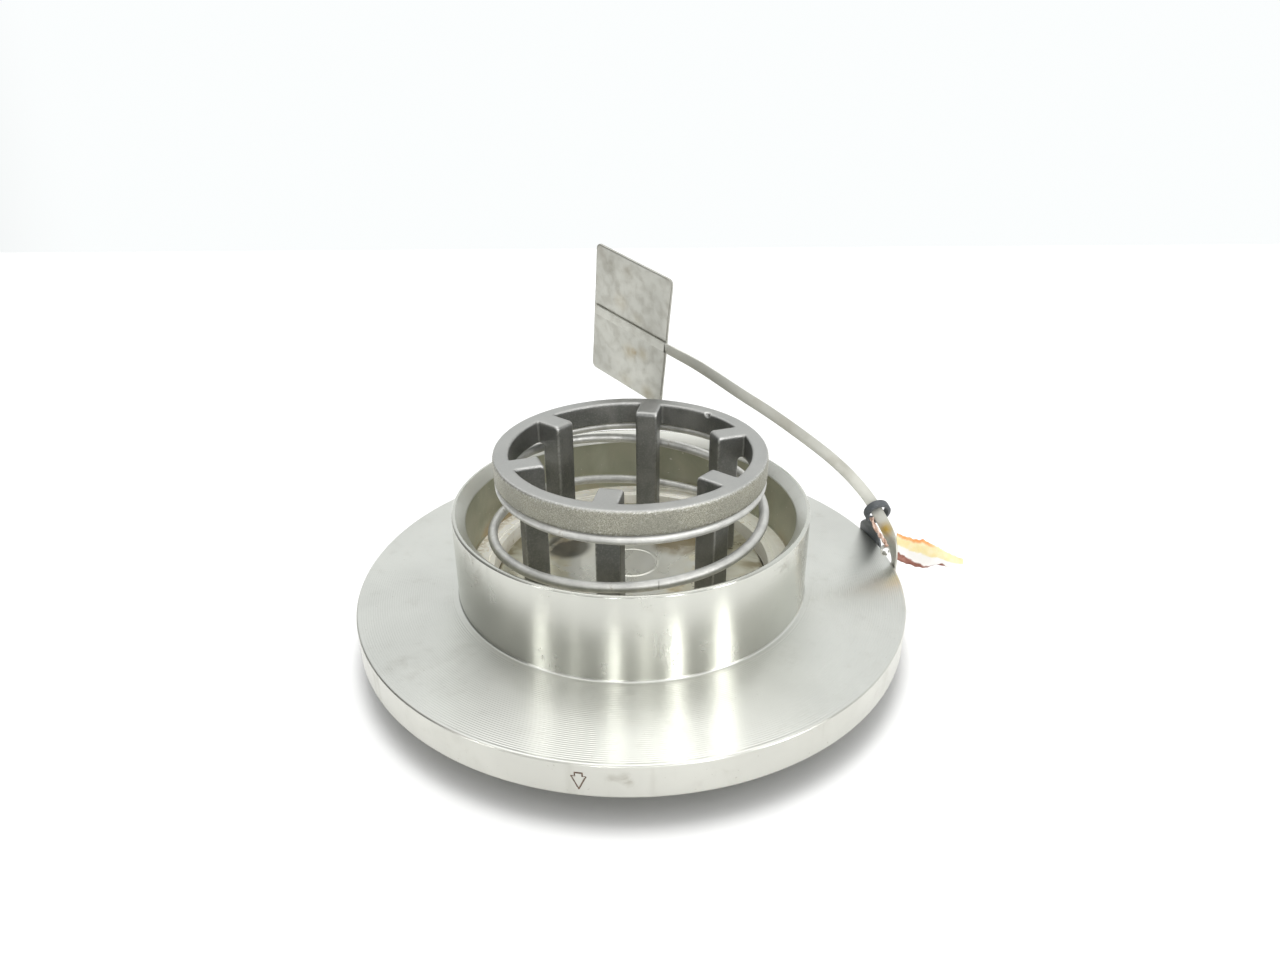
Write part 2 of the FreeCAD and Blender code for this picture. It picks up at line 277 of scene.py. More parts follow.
def tube(name, centres, radius, materials, sides):
    """Round tube through closely spaced centres, with a frame that doesn't twist."""
    vertices = []
    tangent = (centres[1] - centres[0]).normalized()
    normal = tangent.orthogonal().normalized()
    for index, centre in enumerate(centres):
        ahead = centres[min(index + 1, len(centres) - 1)] - centres[max(index - 1, 0)]
        tangent = ahead.normalized()
        normal = (normal - tangent * normal.dot(tangent)).normalized()
        binormal = tangent.cross(normal)
        for side in range(sides):
            angle = 2 * math.pi * side / sides
            vertices.append(centre + (normal * math.cos(angle) + binormal * math.sin(angle)) * radius)
    return mesh_object(name, vertices, swept_faces(len(centres), sides), materials, 50.0)


def curve_through(points, per_span):
    """Points along a Catmull-Rom curve through the given vectors."""
    line = []
    for index in range(len(points) - 1):
        p0 = points[max(index - 1, 0)]
        p1, p2 = points[index], points[index + 1]
        p3 = points[min(index + 2, len(points) - 1)]
        for step in range(per_span):
            t = step / per_span
            line.append(0.5 * (2 * p1 + (p2 - p0) * t + (2 * p0 - 5 * p1 + 4 * p2 - p3) * t ** 2
                               + (3 * p1 - p0 - 3 * p2 + p3) * t ** 3))
    return line + [points[-1].copy()]


def rounded_rectangle(width, thickness, corner):
    """Corners of a rounded rectangle about the origin, as (across, through) pairs."""
    outline = []
    steps = 3
    for sx, sy, start in ((1, 1, 0), (-1, 1, 90), (-1, -1, 180), (1, -1, 270)):
        for step in range(steps + 1):
            angle = math.radians(start + 90 * step / steps)
            outline.append((sx * (width / 2 - corner) + corner * math.cos(angle),
                            sy * (thickness / 2 - corner) + corner * math.sin(angle)))
    return outline


def band(name, stations, outline_at, materials):
    """Strip swept through (centre, width direction) stations, with a section outline for each share."""
    vertices = []
    count = len(stations)
    for index, (centre, hint) in enumerate(stations):
        along = (stations[min(index + 1, count - 1)][0] - stations[max(index - 1, 0)][0]).normalized()
        through = along.cross(hint).normalized()
        across = through.cross(along)
        outline = outline_at(index / (count - 1))
        vertices += [centre + across * a + through * b for a, b in outline]
    return mesh_object(name, vertices, swept_faces(count, len(outline)), materials, 55.0)


# ---- material helpers
class Tree:
    """Short calls that add linked nodes to a shader tree. Noise scales are per metre."""

    def __init__(self, tree, coordinates):
        self.tree = tree
        self.place = self.add("TexCoord").outputs[coordinates]

    def add(self, kind):
        return self.tree.nodes.new("ShaderNode" + kind)

    def put(self, socket, value):
        """Link or set one input; a plain colour is its red, green and blue."""
        if isinstance(value, bpy.types.NodeSocket):
            self.tree.links.new(value, socket)
        elif socket.type == "RGBA":
            socket.default_value = (*value, 1.0)
        else:
            socket.default_value = value

    def fill(self, node, **values):
        """Put values into a node's inputs by name, with _ for a space."""
        for name, value in values.items():
            self.put(node.inputs[name.replace("_", " ")], value)

    def math(self, operation, a, b=0.0, clamp=False):
        node = self.add("Math")
        node.operation = operation
        node.use_clamp = clamp
        self.put(node.inputs[0], a)
        self.put(node.inputs[1], b)
        return node.outputs[0]

    def plus(self, a, b, clamp=False):
        return self.math("ADD", a, b, clamp)

    def times(self, a, b, clamp=False):
        return self.math("MULTIPLY", a, b, clamp)

    def apart(self, a, b):
        """Distance between two values."""
        return self.math("ABSOLUTE", self.math("SUBTRACT", a, b))

    def axes(self, vector=None):
        node = self.add("SeparateXYZ")
        self.put(node.inputs[0], vector or self.place)
        return node.outputs

    def vector(self, x, y, z):
        node = self.add("CombineXYZ")
        for socket, value in zip(node.inputs, (x, y, z)):
            self.put(socket, value)
        return node.outputs[0]

    def noise(self, vector, scale, detail=4.0, roughness=0.55, distortion=0.0):
        node = self.add("TexNoise")
        self.fill(node, Vector=vector, Scale=scale, Detail=detail, Roughness=roughness, Distortion=distortion)
        return node.outputs["Fac"]

    def ramp(self, value, low, high, from_value=0.0, to_value=1.0):
        """Value between low and high, mapped smoothly to from_value and to_value."""
        node = self.add("MapRange")
        node.interpolation_type = "SMOOTHSTEP"
        self.fill(node, Value=value, From_Min=low, From_Max=high, To_Min=from_value, To_Max=to_value)
        return node.outputs["Result"]

    def mix(self, share, a, b):
        node = self.add("Mix")
        node.data_type = "RGBA"
        self.fill(node, Factor=share, A=a, B=b)
        return node.outputs["Result"]

    def bump(self, height, distance, strength=1.0, under=None):
        node = self.add("Bump")
        self.fill(node, Strength=strength, Distance=distance, Height=height)
        if under:
            self.put(node.inputs["Normal"], under)
        return node.outputs[0]


class Nodes(Tree):
    """Shader tree of one new material, in the coordinates of its piece."""

    def __init__(self, name):
        self.material = bpy.data.materials.new(name)
        self.material.use_nodes = True
        tree = self.material.node_tree
        tree.nodes.clear()
        super().__init__(tree, "Object")
        self.shader = self.add("BsdfPrincipled")
        output = self.add("OutputMaterial")
        tree.links.new(self.shader.outputs["BSDF"], output.inputs["Surface"])

    def radius(self):
        """Distance from the flow axis."""
        x, y, _ = self.axes()
        return self.math("SQRT", self.plus(self.times(x, x), self.times(y, y)))

    def turning(self):
        """Coordinates that change across turning marks and hardly along them."""
        x, y, z = self.axes()
        azimuth = self.math("ARCTAN2", y, x)
        return self.vector(self.radius(), z, self.times(self.math("SINE", azimuth), 0.0002))

    def near(self, point, reach):
        """1 at a place on the piece, given in millimetres, falling to 0 at the reach."""
        node = self.add("VectorMath")
        node.operation = "DISTANCE"
        self.put(node.inputs[0], self.place)
        node.inputs[1].default_value = [c * MM for c in point]
        return self.ramp(node.outputs["Value"], 0.0, reach * MM, 1.0, 0.0)

    def finish(self, colour, roughness, normal=None, metallic=1.0):
        self.fill(self.shader, Base_Color=colour, Roughness=roughness, Metallic=metallic)
        if normal:
            self.put(self.shader.inputs["Normal"], normal)
        return self.material


GRIME = (0.20, 0.17, 0.115)


def turned_steel(name, colour, roughness, dirt, anisotropy=0.75, mark_depth=0.006, scuffs=()):
    """Lathe-turned stainless: fine circular marks, hazy patches, brown smudges and a few scuffs."""
    n = Nodes(name)
    marks = n.noise(n.turning(), 2600.0, 3.0, 0.7)
    coarse_marks = n.noise(n.turning(), 700.0, 2.0, 0.5)
    haze = n.noise(n.place, 22.0, 4.0, 0.55, 0.3)
    cloud = n.noise(n.place, 48.0, 5.0, 0.6, 0.5)
    fine_cloud = n.noise(n.place, 160.0, 4.0, 0.6, 0.6)
    x, y, z = n.axes()
    drips = n.noise(n.vector(x, y, n.times(z, 0.12)), 150.0, 4.0, 0.6)
    smudge = n.times(n.ramp(cloud, 0.54, 0.80), n.ramp(fine_cloud, 0.40, 0.70), True)
    specks = n.ramp(n.noise(n.place, 760.0, 2.0, 0.5), 0.715, 0.76)
    stained = n.times(n.plus(smudge, n.times(specks, 0.9), True), dirt, True)
    stained = n.plus(stained, n.times(n.ramp(drips, 0.56, 0.80), dirt * 0.4), True)
    for point, reach, weight in scuffs:
        local = n.times(n.near(point, reach), n.ramp(fine_cloud, 0.40, 0.62))
        stained = n.plus(stained, n.times(local, weight), True)
    tone = n.ramp(haze, 0.3, 0.7, 0.0, 1.0)
    clean = n.mix(tone, tuple(c * 0.93 for c in colour), tuple(min(c * 1.05, 1.0) for c in colour))
    base = n.mix(stained, clean, GRIME)
    dull = n.times(n.ramp(cloud, 0.35, 0.75), n.ramp(drips, 0.35, 0.70), True)
    rough = n.plus(n.ramp(dull, 0.0, 1.0, roughness * 0.88, roughness * 1.35),
                   n.times(stained, 0.22), True)
    relief = n.bump(marks, mark_depth * MM)
    relief = n.bump(coarse_marks, mark_depth * 1.6 * MM, 1.0, relief)
    tangent = n.add("Tangent")
    tangent.direction_type = "RADIAL"
    tangent.axis = "Z"
    n.fill(n.shader, Anisotropic=anisotropy, Anisotropic_Rotation=0.25, Tangent=tangent.outputs[0])
    return n.finish(base, rough, relief, n.ramp(stained, 0.0, 1.0, 1.0, 0.55))


def make_ledge_steel():
    """Ledge and throat: dried scale, cream and white, olive on the right, brown by the wall on the left, with
    painted shade on the throat wall and a faint painted glow all over.
    """
    n = Nodes("ledge_scale_and_painted_light")
    cloud = n.noise(n.place, 90.0, 5.0, 0.6, 0.6)
    fine = n.noise(n.place, 420.0, 4.0, 0.65)
    rings = n.noise(n.turning(), 1500.0, 2.0, 0.6)
    x = n.axes()[0]
    olive = n.times(n.ramp(x, 0.022, 0.038), n.ramp(rings, 0.3, 0.7, 0.8, 1.0))
    by_wall = n.times(n.ramp(n.radius(), 0.0535, 0.0565), n.ramp(x, -0.040, -0.022, 1.0, 0.3))
    crust = n.times(by_wall, n.ramp(fine, 0.36, 0.56), True)
    pits = n.times(n.ramp(fine, 0.58, 0.68), n.ramp(cloud, 0.40, 0.60), True)
    base = n.mix(n.ramp(cloud, 0.35, 0.65), (0.90, 0.88, 0.78), (0.97, 0.96, 0.90))
    base = n.mix(n.times(olive, 0.85), base, (0.62, 0.62, 0.52))
    base = n.mix(n.times(pits, 0.6), base, (0.46, 0.38, 0.22))
    # Painted shade: the throat wall below the ledge is darkened to near black, most on the right, where it
    # lies in shadow.
    wall = n.ramp(n.radius(), (THROAT_RADIUS + 0.1) * MM, (THROAT_RADIUS + 0.4) * MM, 1.0, 0.0)
    wall = n.times(wall, n.ramp(x, -0.015, 0.03, 0.25, 1.0))
    base = n.mix(n.times(wall, 0.8), base, (0.16, 0.155, 0.12))
    base = n.mix(n.times(crust, 0.75), base, (0.46, 0.38, 0.23))
    relief = n.bump(fine, 0.10 * MM, 0.8)
    # Painted glow: a faint cream emission stands in for light that the bore wall keeps off the ledge.
    n.fill(n.shader, Emission_Color=(0.92, 0.90, 0.80), Emission_Strength=0.12)
    return n.finish(base, n.ramp(cloud, 0.3, 0.7, 0.40, 0.58), relief, 0.0)


def make_bore_steel():
    """Inside of the collar and the seat: dulled by dried fluid, olive, with brown crust low down."""
    n = Nodes("bore_steel")
    cloud = n.noise(n.place, 55.0, 6.0, 0.62, 0.7)
    fine = n.noise(n.place, 380.0, 4.0, 0.6)
    x, _, z = n.axes()
    low = n.ramp(z, LEDGE * MM, (LEDGE + 6.0) * MM, 1.0, 0.0)
    left = n.ramp(x, -0.05, -0.02, 1.0, 0.35)
    crust_share = n.plus(n.times(low, left), 0.12)
    crust = n.times(n.ramp(cloud, 0.42, 0.60), crust_share, True)
    flakes = n.ramp(n.noise(n.place, 620.0, 2.0, 0.5), 0.70, 0.74)
    base = n.mix(n.ramp(cloud, 0.3, 0.7), (0.375, 0.38, 0.285), (0.47, 0.475, 0.375))
    base = n.mix(crust, base, (0.42, 0.34, 0.21))
    base = n.mix(n.times(flakes, 0.6), base, (0.80, 0.78, 0.72))
    relief = n.bump(n.noise(n.turning(), 1900.0, 2.0, 0.6), 0.006 * MM)
    relief = n.bump(n.plus(n.times(crust, 0.6), fine), 0.05 * MM, 0.7, relief)
    rough = n.ramp(crust, 0.0, 1.0, 0.44, 0.75)
    return n.finish(base, rough, relief, n.ramp(crust, 0.0, 1.0, 0.5, 0.1))


def make_engraving():
    """Brown oxide left in the flow arrow by the marking laser."""
    n = Nodes("engraving_oxide")
    grain = n.noise(n.place, 2600.0, 3.0, 0.6)
    base = n.mix(n.ramp(grain, 0.35, 0.65), (0.075, 0.05, 0.035), (0.20, 0.14, 0.10))
    return n.finish(base, 0.7, n.bump(grain, 0.03 * MM), 0.2)


def make_disc_steel():
    """Poppet disc: turned steel, greyer round its middle, with brown and yellow water stains and a painted
    shade of the left rear leg on its left side.
    """
    n = Nodes("disc_steel")
    cloud = n.noise(n.place, 48.0, 5.0, 0.55, 0.6)
    patches = n.noise(n.place, 85.0, 4.0, 0.55, 0.8)
    wander = n.times(n.math("SUBTRACT", patches, 0.5), 0.016)
    radius = n.plus(n.radius(), wander)
    middle = n.ramp(radius, 0.022, 0.026, 1.0, 0.0)
    tide = n.times(n.ramp(radius, 0.023, 0.0265), n.ramp(radius, 0.0265, 0.035, 1.0, 0.0), True)
    rust = n.times(tide, n.ramp(cloud, 0.46, 0.66), True)
    film = n.ramp(patches, 0.40, 0.72, 0.0, 0.6)
    base = n.mix(n.ramp(cloud, 0.3, 0.7), (0.60, 0.59, 0.48), (0.82, 0.81, 0.70))
    base = n.mix(film, base, (0.60, 0.55, 0.37))
    base = n.mix(n.times(middle, 0.7), base, (0.64, 0.645, 0.60))
    base = n.mix(n.times(rust, 0.9), base, (0.33, 0.24, 0.10))
    ring_dirt = n.times(n.ramp(radius, 0.040, 0.047), n.ramp(patches, 0.40, 0.62), True)
    base = n.mix(n.times(ring_dirt, 0.75), base, (0.34, 0.28, 0.16))
    # Painted shade: a near-black patch on the disc's left, where the left rear leg shades it and is reflected
    # darkly in it.
    dark = n.ramp(n.near((-24.0, 11.5, DISC_TOP), 13.0), 0.08, 0.5)
    dark = n.times(dark, n.ramp(patches, 0.27, 0.47), True)
    base = n.mix(n.times(dark, 0.9), base, (0.10, 0.095, 0.075))
    crust = n.ramp(n.near((17.5, 13.0, DISC_TOP), 14.0), 0.08, 0.5)
    crust = n.times(crust, n.ramp(cloud, 0.28, 0.48), True)
    base = n.mix(n.times(crust, 0.9), base, (0.24, 0.19, 0.10))
    relief = n.bump(n.noise(n.turning(), 1500.0, 2.0, 0.6), 0.006 * MM)
    relief = n.bump(n.noise(n.place, 500.0, 4.0, 0.6), 0.02 * MM, 0.6, relief)
    rough = n.plus(n.ramp(cloud, 0.3, 0.7, 0.24, 0.36), n.times(rust, 0.35), True)
    return n.finish(base, rough, relief, n.ramp(rust, 0.0, 1.0, 0.6, 0.3))


def make_cage_steel():
    """Investment casting: grey, sandy on the ring's outer side, brighter where its edges have rubbed."""
    n = Nodes("cage_steel")
    grain = n.noise(n.place, 3900.0, 3.0, 0.65)
    coarse = n.noise(n.place, 1500.0, 3.0, 0.6)
    cloud = n.noise(n.place, 70.0, 4.0, 0.6, 0.5)
    outside = n.ramp(n.radius(), (RING_RADIUS - 0.7) * MM, (RING_RADIUS - 0.3) * MM)
    base = n.mix(n.ramp(cloud, 0.32, 0.7), (0.20, 0.205, 0.20), (0.29, 0.29, 0.28))
    base = n.mix(n.ramp(coarse, 0.45, 0.7, 0.0, 0.35), base, (0.38, 0.38, 0.36))
    sand = n.mix(n.ramp(grain, 0.38, 0.64), (0.22, 0.215, 0.175), (0.50, 0.49, 0.415))
    sand = n.mix(n.ramp(cloud, 0.35, 0.7, 0.0, 0.4), sand, (0.27, 0.27, 0.235))
    base = n.mix(outside, base, sand)
    upper_face = n.ramp(n.axes()[2], (RING_TOP - 0.7) * MM, (RING_TOP - 0.3) * MM)
    base = n.mix(n.times(upper_face, 0.55), base, (0.54, 0.54, 0.52))
    wear = n.add("Attribute")
    wear.attribute_name = "wear"
    base = n.mix(n.times(wear.outputs["Fac"], 0.75), base, (0.80, 0.80, 0.78))
    relief = n.bump(grain, 0.09 * MM, 0.8)
    relief = n.bump(coarse, 0.06 * MM, 0.6, relief)
    return n.finish(base, n.ramp(cloud, 0.3, 0.7, 0.40, 0.50), relief)


def make_spring_steel():
    n = Nodes("spring_steel")
    cloud = n.noise(n.place, 130.0, 5.0, 0.6, 0.5)
    fine = n.noise(n.place, 900.0, 3.0, 0.6)
    base = n.mix(n.ramp(cloud, 0.35, 0.7), (0.56, 0.56, 0.54), (0.70, 0.70, 0.67))
    grime = n.times(n.ramp(cloud, 0.58, 0.72), n.ramp(fine, 0.45, 0.65), True)
    base = n.mix(n.times(grime, 0.5), base, (0.28, 0.23, 0.16))
    x = n.axes()[0]
    line = n.ramp(n.apart(x, SPRING_MARK[0] * MM), 0.0, 0.32 * MM, 1.0, 0.0)
    mark = n.times(line, n.ramp(n.near(SPRING_MARK, 2.6), 0.2, 0.7))
    base = n.mix(n.times(mark, 0.55), base, (0.14, 0.13, 0.12))
    relief = n.bump(fine, 0.02 * MM, 0.7)
    return n.finish(base, n.ramp(fine, 0.3, 0.7, 0.44, 0.56), relief, 0.85)


def sheet_steel(name, colour, stain_and_shade_places=(), metallic=1.0):
    """Rolled strip or sheet: dull, faint rolling grain, water stains and heat tints, and any painted shade
    given among its places.
    """
    n = Nodes(name)
    cloud = n.noise(n.place, 38.0, 4.0, 0.5, 0.3)
    fine = n.noise(n.place, 260.0, 4.0, 0.55, 0.3)
    x, y, z = n.axes()
    streaks = n.noise(n.vector(n.times(x, 0.25), n.times(y, 0.25), z), 1500.0, 2.0, 0.6)
    base = n.mix(n.ramp(cloud, 0.30, 0.70), tuple(c * 0.86 for c in colour), tuple(c * 1.04 for c in colour))
    stain = n.times(n.ramp(cloud, 0.52, 0.74, 1.0, 0.0), n.ramp(fine, 0.40, 0.75), True)
    base = n.mix(n.times(stain, 0.22), base, (0.34, 0.31, 0.25))
    for point, reach, tint, weight in stain_and_shade_places:
        patch = n.times(n.near(point, reach), n.ramp(fine, 0.20, 0.55, 0.35, 1.0), True)
        base = n.mix(n.times(patch, weight), base, tint)
    relief = n.bump(streaks, 0.008 * MM)
    relief = n.bump(fine, 0.02 * MM, 0.6, relief)
    return n.finish(base, n.ramp(fine, 0.3, 0.7, 0.34, 0.5), relief, metallic)


def make_rubber(name, colour):
    n = Nodes(name)
    cloud = n.noise(n.place, 300.0, 4.0, 0.6)
    dust = n.ramp(n.noise(n.place, 900.0, 3.0, 0.6), 0.55, 0.75)
    base = n.mix(cloud, tuple(c * 0.8 for c in colour), tuple(c * 1.25 for c in colour))
    base = n.mix(n.times(dust, 0.25), base, (0.30, 0.31, 0.33))
    return n.finish(base, n.ramp(cloud, 0.3, 0.7, 0.38, 0.55), n.bump(cloud, 0.03 * MM, 0.6), 0.0)


def make_wire_sheath():
    n = Nodes("wire_sheath")
    cloud = n.noise(n.place, 700.0, 4.0, 0.6)
    base = n.mix(n.ramp(cloud, 0.35, 0.7), (0.40, 0.24, 0.17), (0.80, 0.60, 0.50))
    return n.finish(base, 0.55, n.bump(cloud, 0.05 * MM, 0.7), 0.1)


def make_label_paper():
    """Torn label: orange top edge, yellow band, bare white paper and dark red along the bottom."""
    n = Nodes("label_paper")
    along, up, _ = n.axes(n.add("UVMap").outputs[0])
    rag = n.math("SUBTRACT", n.noise(n.place, 260.0, 4.0, 0.65), 0.5)
    height = n.plus(up, n.times(rag, 0.22))
    yellow_floor = n.math("SUBTRACT", n.plus(height, n.times(along, 0.18)), 0.58)
    red_top = n.plus(height, n.times(n.apart(along, 0.08), 0.62))
    red_spot = n.plus(height, n.times(n.apart(along, 0.66), 2.4))
    orange_edge = n.times(n.ramp(height, 0.85, 0.95), n.ramp(along, 0.34, 0.60, 1.0, 0.0))
    faded = n.noise(n.place, 320.0, 4.0, 0.6)
    yellow = n.mix(n.ramp(faded, 0.35, 0.7), (0.84, 0.71, 0.36), (0.87, 0.78, 0.52))
    orange = n.mix(n.ramp(faded, 0.4, 0.65), (0.85, 0.22, 0.03), (0.84, 0.42, 0.14))
    red = n.mix(n.ramp(faded, 0.35, 0.65), (0.22, 0.075, 0.05), (0.40, 0.19, 0.14))
    base = n.mix(n.ramp(yellow_floor, -0.04, 0.04), (0.88, 0.86, 0.83), yellow)
    base = n.mix(n.times(orange_edge, 0.92), base, orange)
    base = n.mix(n.ramp(red_top, 0.26, 0.33, 1.0, 0.0), base, red)
    base = n.mix(n.ramp(red_spot, 0.16, 0.22, 1.0, 0.0), base, red)
    creases = n.noise(n.place, 190.0, 5.0, 0.7, 1.2)
    return n.finish(base, 0.6, n.bump(creases, 0.25 * MM, 0.7), 0.0)


# ---- valve body
def arrow_depth(across, up):
    """Depth of the engraved arrow at a point on the rim, in millimetres."""
    half = [(0.0, -2.95), (2.08, 1.65), (1.08, 1.65), (1.08, 2.95)]
    corners = half + [(-x, z) for x, z in reversed(half[1:])]
    point = Vector((across, up))
    nearest = 99.0
    for index, corner in enumerate(corners):
        a, b = Vector(corners[index - 1]), Vector(corner)
        share = min(max((point - a).dot(b - a) / (b - a).length_squared, 0.0), 1.0)
        nearest = min(nearest, (point - a.lerp(b, share)).length)
    return ARROW_DEPTH * (1 - smoothstep(ARROW_LINE * 0.3, ARROW_LINE * 0.62, nearest))


def body_azimuths():
    """Even steps round the plate, with fine ones across the engraved arrow."""
    even = [360.0 * step / 288 - 180.0 for step in range(288)]
    fine = [ARROW_AZIMUTH + ARROW_REACH * (step / 30 - 1) for step in range(61)]
    return sorted([a for a in even if abs(a - ARROW_AZIMUTH) > ARROW_REACH + 0.3] + fine)


def grooves(start, end, height, direction, finish):
    """Concentric V-grooves of a gasket face between two radii."""
    per_groove = 5
    count = int(abs(end - start) / GROOVE_PITCH)
    sign = 1 if end > start else -1
    points = []
    for step in range(count * per_groove + 1):
        turn = step / per_groove
        depth = GROOVE_DEPTH * (0.5 - 0.5 * math.cos(2 * math.pi * turn))
        points.append((start + sign * turn * GROOVE_PITCH, height - direction * depth, finish))
    return points


def make_valve_body():
    seat_bottom = SEAT_TOP - (OUTLET_RADIUS - THROAT_RADIUS)
    outside, face, rim, bore, lead_in, engraving, ledge = range(7)
    inner = rounded([
        (THROAT_RADIUS, LEDGE - 0.15, 0.3, ledge),
        (LEDGE_STEP, LEDGE - 0.15, 0.06, ledge),
        (LEDGE_STEP + 0.12, LEDGE - 0.4, 0.06, ledge),
        (LEDGE_STEP + 0.4, LEDGE - 0.4, 0.06, ledge),
        (LEDGE_STEP + 0.5, LEDGE, 0.1, ledge),
        (BORE_RADIUS, LEDGE, 0.5, bore),
        (BORE_RADIUS, COLLAR_TOP - LEAD_IN - 0.1, 0.35, lead_in),
        (BORE_RADIUS + LEAD_IN - 0.1, COLLAR_TOP, 0.12, outside),
        (COLLAR_RADIUS - 0.55, COLLAR_TOP, 0.12, outside),
        (COLLAR_RADIUS, COLLAR_TOP - 0.5, 0.15, outside),
        (COLLAR_RADIUS, 0.0, 0.9, face),
        (FACE_INNER + 0.2, 0.0, 0.0, face),
    ])
    upper = grooves(FACE_INNER + 0.3, FACE_OUTER, 0.0, 1, face)
    rim_steps = [PLATE_BOTTOM + 0.5 + (abs(PLATE_BOTTOM) - 1.0) * step / 70 for step in range(70, -1, -1)]
    edge = [
        (PLATE_RADIUS - 0.55, 0.0, face),
        (PLATE_RADIUS - 0.35, -0.08, rim),
        (PLATE_RADIUS - 0.08, -0.35, rim),
    ]
    edge += [(PLATE_RADIUS, z, rim) for z in rim_steps]
    edge += [(PLATE_RADIUS - 0.12, PLATE_BOTTOM + 0.15, rim), (PLATE_RADIUS - 0.4, PLATE_BOTTOM, face)]
    lower = grooves(FACE_OUTER, 66.0, PLATE_BOTTOM, -1, face)
    under = rounded([
        (65.0, PLATE_BOTTOM, 0.0, face),
        (OUTLET_RADIUS, PLATE_BOTTOM, 0.4, bore),
        (OUTLET_RADIUS, seat_bottom, 0.3, bore),
        (THROAT_RADIUS, SEAT_TOP, 0.3, ledge),
    ])

    def engrave(r, z, azimuth):
        if r < PLATE_RADIUS - 0.01 or abs(azimuth - ARROW_AZIMUTH) > ARROW_REACH:
            return r, z
        across = math.radians(azimuth - ARROW_AZIMUTH) * PLATE_RADIUS
        return r - arrow_depth(across, z - ARROW_MIDDLE), z

    def mark(start, end, azimuth, following):
        middle_azimuth = (azimuth + following) / 2
        if start[0] < PLATE_RADIUS - 0.01 or abs(middle_azimuth - ARROW_AZIMUTH) > ARROW_REACH:
            return start[2]
        across = math.radians(middle_azimuth - ARROW_AZIMUTH) * PLATE_RADIUS
        deep = arrow_depth(across, (start[1] + end[1]) / 2 - ARROW_MIDDLE) > 0.45 * ARROW_DEPTH
        return engraving if deep else start[2]

    # Each scuff: place, reach and strength
    scuff = [
        ((-2.0, -98.0, -5.0), 4.0, 0.5),
        ((-6.0, -97.8, -4.6), 3.0, 0.3),
        ((58.0, -24.0, 24.0), 10.0, 0.45),
        ((48.0, -40.4, 25.0), 7.0, 0.4),
        ((-52.0, -35.0, 24.0), 11.0, 0.5),
        ((-30.0, -55.0, 6.0), 5.0, 0.3),
    ]
    materials = [
        turned_steel("collar_steel", (0.635, 0.64, 0.59), roughness=0.25, dirt=0.22, scuffs=scuff),
        turned_steel("face_steel", (0.68, 0.685, 0.645), roughness=0.33, dirt=0.22, mark_depth=0.01),
        turned_steel("rim_steel", (0.64, 0.64, 0.59), roughness=0.34, dirt=0.3, anisotropy=0.4, scuffs=scuff),
        make_bore_steel(),
        turned_steel("lead_in_steel", (0.76, 0.765, 0.72), roughness=0.40, dirt=0.25, anisotropy=0.3),
        make_engraving(),
        make_ledge_steel(),
    ]
    outline = inner + upper + edge + lower + under
    body = lathe("valve_body_visual", outline, materials, body_azimuths(), engrave, mark)
    settle(body, "body", "body_steel", "valve_body")


# ---- poppet
def cut(piece, cutters):
    """Subtract closed cutter objects from a piece and apply the result."""
    for cutter in cutters:
        modifier = piece.modifiers.new("cut", "BOOLEAN")
        modifier.operation = "DIFFERENCE"
        modifier.solver = "EXACT"
        modifier.object = cutter
    applied(piece)
    for cutter in cutters:
        bpy.data.objects.remove(cutter)


def applied(piece):
    """Replace a piece's mesh with what its modifiers make of it."""
    evaluated = piece.evaluated_get(bpy.context.evaluated_depsgraph_get())
    mesh = bpy.data.meshes.new_from_object(evaluated)
    piece.modifiers.clear()
    piece.data = mesh


def make_poppet_disc():
    outline = rounded([
        (0.0, DISC_TOP, 0.0, 0),
        (8.6, DISC_TOP, 0.2, 0),
        (9.1, DISC_TOP + 0.16, 0.2, 0),
        (9.6, DISC_TOP + 0.16, 0.2, 0),
        (10.1, DISC_TOP - 0.04, 0.3, 0),
        (18.6, DISC_TOP, 0.3, 0),
        (19.8, DISC_TOP - 0.08, 0.3, 0),
        (DISC_STEP_RADIUS - 0.8, DISC_TOP - 0.08, 0.3, 0),
        (DISC_STEP_RADIUS, DISC_TOP - 0.9, 0.2, 0),
        (DISC_STEP_RADIUS, CONE_SUM - DISC_STEP_RADIUS, 0.4, 0),
        (DISC_RADIUS, CONE_SUM - DISC_RADIUS, 0.4, 0),
        (DISC_RADIUS, DISC_BOTTOM, 0.9, 0),
        (RECESS_RADIUS, DISC_BOTTOM, 0.5, 0),
        (RECESS_RADIUS, RECESS_TOP, 1.2, 0),
        (0.0, RECESS_TOP, 0.0, 0),
    ])
    disc = lathe("poppet_disc_visual", outline, [make_disc_steel()], FULL_TURN)
    cutters = []
    hole = SCREW_HOLE * MM
    for azimuth in LEG_AZIMUTHS:
        work = bmesh.new()
        bmesh.ops.create_cone(work, cap_ends=True, segments=48, radius1=2 * hole, radius2=hole, depth=hole)
        mesh = bpy.data.meshes.new("countersink")
        work.to_mesh(mesh)
        work.free()
        cutter = new_object("countersink", mesh)
        angle = math.radians(azimuth)
        place = Vector((SCREW_CIRCLE * math.cos(angle), SCREW_CIRCLE * math.sin(angle), RECESS_TOP + 1.2))
        cutter.location = place * MM
        cutters.append(cutter)
    bpy.context.view_layer.update()
    cut(disc, cutters)
    disc.data.set_sharp_from_angle(angle=math.radians(30))
    settle(disc, "poppet", "disc_steel", "poppet_disc")


def record_wear(work):
    """Store how sharply each vertex stands out from its neighbours, as the attribute wear."""
    work.normal_update()
    layer = work.verts.layers.float.new("wear")
    standing = {}
    for vertex in work.verts:
        around = [edge.other_vert(vertex).co for edge in vertex.link_edges]
        centre = sum(around, Vector()) / len(around)
        standing[vertex.index] = (vertex.co - centre).dot(vertex.normal) / MM
    for vertex in work.verts:
        near = [standing[edge.other_vert(vertex).index] for edge in vertex.link_edges]
        vertex[layer] = smoothstep(0.020, 0.050, (standing[vertex.index] + sum(near)) / (len(near) + 1))


